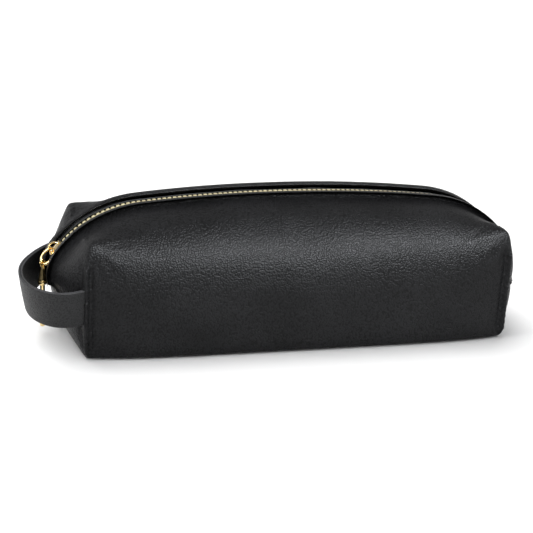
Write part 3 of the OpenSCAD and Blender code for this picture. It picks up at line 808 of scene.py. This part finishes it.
top_s = -(S_SHO + math.radians((END_R - CHAIN_D) * (82 - SHO_END)))
stop = moved(line_frame(top_s), clip(STOP_L, STOP_IN, STOP_OUT))
make("stop_top_back", *stop, "bag", TOOTH, ["top_stop_back"], "teeth", sharp=40)
make("stop_top_front", *turned(stop), "bag", TOOTH, ["top_stop_front"], "teeth", sharp=40)
stop = moved(line_frame(bottom_s), clip(STOP_L, -STOP_OUT, STOP_OUT))
make("stop_bottom", *stop, "bag", TOOTH, ["bottom_stop"], "teeth", sharp=40)


THREAD_R, STITCH_HALF = 0.24, 1.25


def stitches(name, front, nodes):
    """Each stitch dives into the leather at both ends and stands proud between."""
    parts = []
    n = int((S_END - 2) // PITCH)
    sunk = LIP_DIP * math.exp(-((STITCH_Y - LIP) / LIP_REACH) ** 2)
    for i in range(-n, n + 1):
        path = []
        for u in np.linspace(-1, 1, 7):
            depth = sunk + THREAD_R - THREAD_R * (1 - u * u) + 0.2 * u ** 6
            path.append(beside_line(i * PITCH + u * STITCH_HALF, STITCH_Y + 0.12 * u, depth))
        parts.append(tube(path, THREAD_R, 8, up=(0, 1, 0)))
    part = join_parts(parts)
    make(name, *(turned(part) if front else part), "bag", THREAD, nodes, "thread")


stitches("topstitch_row_front", True, ["topstitch_front"])
stitches("topstitch_row_back", False, ["topstitch_back"])


# ---------------------------------------------------------------- slider and bridge
at_slider = line_frame(-S_SHO)


def slider_outline(l, w, n=10):
    """Plan of a slider plate: broad shoulders towards the closed chain, a narrower rounded tail."""
    half = []
    for i in range(n + 1):
        u = i / n
        nose = 1 - max(0, (0.18 - u) / 0.18) ** 2.2 * 0.42
        tail = 1 - max(0, (u - 0.84) / 0.16) ** 2.2 * 0.45
        half.append((l / 2 - l * u, w * (1 - 0.16 * u ** 2) * nose * tail))
    return half + [(x, -y) for x, y in reversed(half)]


# two plates with flanges, joined by the post between the chains, and the arch that holds the ring
plan = slider_outline(7.6, 3.6)[::-1]
plates = [prism(plan, 1.5, 2.42, 0.28, 3), prism(plan, -2.4, -1.5, 0.25, 2)]
for y0, y1 in ((-3.58, -3.0), (3.0, 3.58)):
    for z0, z1 in ((0.72, 1.8), (-1.8, -0.72)):
        plates.append(block(-2.7, 2.6, y0, y1, z0, z1, 0.14, 2))
plates.append(block(-3.5, -1.1, -0.2, 0.2, -1.8, 1.8, 0.08, 1))
body = moved(at_slider, join_parts(plates))
make("slider_plates", *body, "slider", GOLD, ["slider_body"], "slider_metal", sharp=35)
ARCH_R, ARCH_FOOT = 2.85, 2.3
arch = [(-ARCH_R * math.cos(t), 0, ARCH_FOOT + ARCH_R * math.sin(t)) for t in np.linspace(0, math.pi, 33)]
bridge = tube(arch, 0.40, 14, up=(0, 1, 0), squash=(0.9, 2.0))
make("slider_arch", *moved(at_slider, bridge), "slider", GOLD, ["slider_bridge"], "slider_metal", sharp=50)


# ---------------------------------------------------------------- ring and pull
joints = {j["name"]: j for j in frame["joints"]}
RING_TOP = np.array(joints["ring_swing"]["pos_m"]) / MM
RING_FOOT = np.array(joints["pull_swing"]["pos_m"]) / MM
down = (RING_FOOT - RING_TOP) / np.linalg.norm(RING_FOOT - RING_TOP)
length = np.linalg.norm(RING_FOOT - RING_TOP)
mid = (RING_TOP + RING_FOOT) / 2
TWIST = 38                     # degrees that the ring and the pull's eye are turned about the way they hang
RING_HALF_W, RING_WIRE_R = 2.8, 0.68
EYE_R, EYE_WIRE_R = 1.5, 0.4
front_way = np.cross(down, [0, 1, 0])
across_ring = cos(TWIST) * np.array([0, 1, 0]) - sin(TWIST) * front_way
ring_path = []
for t in np.linspace(0, 2 * math.pi, 64, endpoint=False):
    across = RING_HALF_W * math.sin(t) * (1 + 0.10 * math.cos(t))
    ring_path.append(mid + down * (length / 2 * math.cos(t)) + across * across_ring)
oval = tube(ring_path, RING_WIRE_R, 16, True, up=np.cross(down, across_ring))
make("ring_oval", *oval, "ring", GOLD, ["pull_ring"], "pull_metal")

eye = [RING_FOOT + EYE_R * math.cos(t) * np.array([cos(TWIST), sin(TWIST), 0]) + [0, 0, EYE_R * math.sin(t)]
       for t in np.linspace(0, 2 * math.pi, 40, endpoint=False)]
# the turned pull, as (radius, height over the ring's foot): neck, cone, groove, bead, shaft and end
profile = [(0.02, -1.55), (0.75, -1.6), (0.86, -2.1), (0.98, -2.9), (1.22, -4.2), (1.55, -5.8), (1.88, -7.2),
           (2.1, -8.1), (2.16, -8.45), (2.08, -8.62), (1.95, -8.7), (1.95, -8.85), (2.1, -8.95),
           (2.26, -9.12), (2.3, -9.4), (2.3, -10.0), (2.22, -10.3), (1.95, -10.6), (1.55, -10.85),
           (1.3, -11.05), (1.24, -11.3), (1.22, -16), (1.22, -24), (1.24, -30.6), (1.3, -31.0),
           (1.3, -31.5), (1.22, -31.9), (1.0, -32.2), (0.6, -32.36), (0.02, -32.4)]
shaft_pts, shaft_faces = lathe(profile, 40)
loop = tube(eye, EYE_WIRE_R, 12, True, up=(-sin(TWIST), cos(TWIST), 0))
pull = join_parts([loop, (shaft_pts + RING_FOOT, shaft_faces)])
make("pull_turned", *pull, "pull", GOLD, ["pull_tab"], "pull_metal", sharp=50)
fix_normals(bpy.data.objects["pull_turned"])


# ---------------------------------------------------------------- wrist loop
STRAP_Z, STRAP_W, STRAP_T, FLARE = 26.6, 17.0, 1.1, 3.0
CURVE = np.array([(-109.0, -38.9), (-133.5, -51.0), (-147.0, 3.0), (-109.0, 38.9)])


TUCK = np.array([(-104.4, -35.0), (-105.2, -36.7), (-106.8, -38.1)])    # where an end goes into its seam
# heights across the strap, from its lower edge to its upper edge, and how much each is rounded off
LEVELS = np.array([-1, -0.985, -0.95, -0.8, -0.55, -0.25, 0, 0.25, 0.55, 0.8, 0.95, 0.985, 1])
ROUND_OFF = np.array([0.22, 0.08, 0, 0, 0, 0, 0, 0, 0, 0, 0, 0.08, 0.22])


def strap_line(n=120):
    """Plan of the strap's middle: out of the front seam, round the loop, and back into the back seam."""
    t = np.linspace(0, 1, n)[:, None]
    a, b, c, d = CURVE
    loop = (1 - t) ** 3 * a + 3 * t * (1 - t) ** 2 * b + 3 * t * t * (1 - t) * c + t ** 3 * d
    return np.vstack([TUCK, loop, TUCK[::-1] * [1, -1]])


def strap_layer(name, off0, off1, nodes, seed):
    line = strap_line()
    t = np.gradient(line, axis=0)
    t /= np.linalg.norm(t, axis=1)[:, None]
    out = np.stack([t[:, 1], -t[:, 0]], 1)
    if (out[len(out) // 2][0]) > 0:
        out = -out
    run = np.concatenate([[0], np.cumsum(np.linalg.norm(np.diff(line, axis=0), axis=1))])
    u = run / run[-1]
    wave = [0.35 * noise.noise(Vector((v * 5 + seed, 0, 0))) for v in u]
    pts = []
    for i, p in enumerate(line):
        hump = 4 * u[i] * (1 - u[i])
        tuck = FLARE * hump
        for off, way, levels in ((off1, -1, LEVELS), (off0, 1, LEVELS[::-1])):
            for lev, ro in zip(levels, ROUND_OFF):
                o = off + way * ro - tuck * (1 - lev) / 2 + 0.18 * (1 - lev ** 2) * hump
                pts.append((*(p + out[i] * o), STRAP_Z + lev * STRAP_W / 2 + wave[i]))
    m = len(LEVELS)
    k = 2 * m
    n = len(line)
    faces = grid_faces(n, k, False, True) + [tuple(range(k)), tuple(reversed(range((n - 1) * k, n * k)))]
    obj = make(name, pts, faces, None, STRAP, nodes, "strap_leather", sharp=60)
    obj.data.materials.append(RAW_EDGE)
    lower, upper = {0, 1, k - 1, k - 2}, {m - 2, m - 1, m, m + 1}
    for poly in obj.data.polygons:
        js = {v % k for v in poly.vertices}
        if len(poly.vertices) == 4 and (js <= lower or js <= upper):
            poly.material_index = 1
    fix_normals(obj)
    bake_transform(obj)
    return obj


strap_layer("strap_outer_layer", 0.02, STRAP_T, ["strap_outer", "strap_end_front", "strap_end_back"], 1.0)
strap_layer("strap_inner_layer", -STRAP_T, -0.02, ["strap_inner"], 1.0)

# ---------------------------------------------------------------- stage
FLOOR = bpy.data.meshes.new("floor")
n_f, span = 40, 9.0
fp = [((i / n_f - 0.5) * span, (j / n_f - 0.5) * span, 0.0) for i in range(n_f + 1) for j in range(n_f + 1)]
FLOOR.from_pydata(fp, [], grid_faces(n_f + 1, n_f + 1))
floor = bpy.data.objects.new("floor", FLOOR)
bpy.context.scene.collection.objects.link(floor)
fm, fnt, fb = new_material("floor_paper", (0.93, 0.93, 0.93), 0.85)
pn = node(fnt, "ShaderNodeTexNoise", Scale=40.0)
fnt.links.new(coords(fnt), pn.inputs["Vector"])
fnt.links.new(ramp(fnt, pn.outputs["Fac"], [(0.3, grey(0.925)), (0.7, grey(0.935))]), fb.inputs["Base Color"])
FLOOR.materials.append(fm)


def area_light(name, at, target, size, power, colour=(1, 1, 1), size_y=None):
    light = bpy.data.lights.new(name, "AREA")
    light.energy, light.color = power, colour
    light.shape = "RECTANGLE"
    light.size, light.size_y = size, size_y or size
    o = bpy.data.objects.new(name, light)
    bpy.context.scene.collection.objects.link(o)
    o.location = at
    o.rotation_euler = (Vector(target) - Vector(at)).to_track_quat("-Z", "Y").to_euler()
    return o


sun = bpy.data.lights.new("overhead", "SUN")
sun.energy, sun.angle = 3.1, math.radians(60)
sun_obj = bpy.data.objects.new("overhead", sun)
bpy.context.scene.collection.objects.link(sun_obj)
sun_obj.rotation_euler = (math.radians(-20), math.radians(-10), 0)
sun_obj.visible_glossy = False
COOL = (0.93, 0.96, 1.0)
front_soft = area_light("front_soft", (0.36, -0.70, 0.72), (0.03, 0, 0.03), 0.50, 36.0, COOL, 0.30)
front_soft.visible_diffuse = False      # only its reflection shows, as the sheen on leather and metal
area_light("left_soft", (-0.9, -0.25, 0.35), (-0.10, 0, 0.03), 0.34, 3.6, (1, 1, 1), 0.4)

world = bpy.data.worlds.new("studio")
bpy.context.scene.world = world
world.use_nodes = True
bg = world.node_tree.nodes["Background"]
bg.inputs["Color"].default_value = (1, 1, 1, 1)
bg.inputs["Strength"].default_value = 0.46
bpy.context.scene.view_settings.view_transform = "Standard"

# ---------------------------------------------------------------- camera
AZ, EL, ROLL = -16.2076, 18.3798, 2.9895    # degrees, from the fit to the photograph's silhouette
back = Vector((sin(AZ) * cos(EL), -cos(AZ) * cos(EL), sin(EL)))
right = (-back).cross(Vector((0, 0, 1))).normalized()
up = right.cross(-back).normalized()
r2 = right * cos(ROLL) + up * sin(ROLL)
u2 = up * cos(ROLL) - right * sin(ROLL)
cam_data = bpy.data.cameras.new("camera")
cam_data.lens, cam_data.sensor_width = 93.68, 36.0
cam_data.clip_start, cam_data.clip_end = 0.01, 20
cam = bpy.data.objects.new("camera", cam_data)
bpy.context.scene.collection.objects.link(cam)
cam.matrix_world = Matrix(((r2.x, u2.x, back.x, -0.194104), (r2.y, u2.y, back.y, -0.636636),
                           (r2.z, u2.z, back.z, 0.250307), (0, 0, 0, 1)))
bpy.context.scene.camera = cam
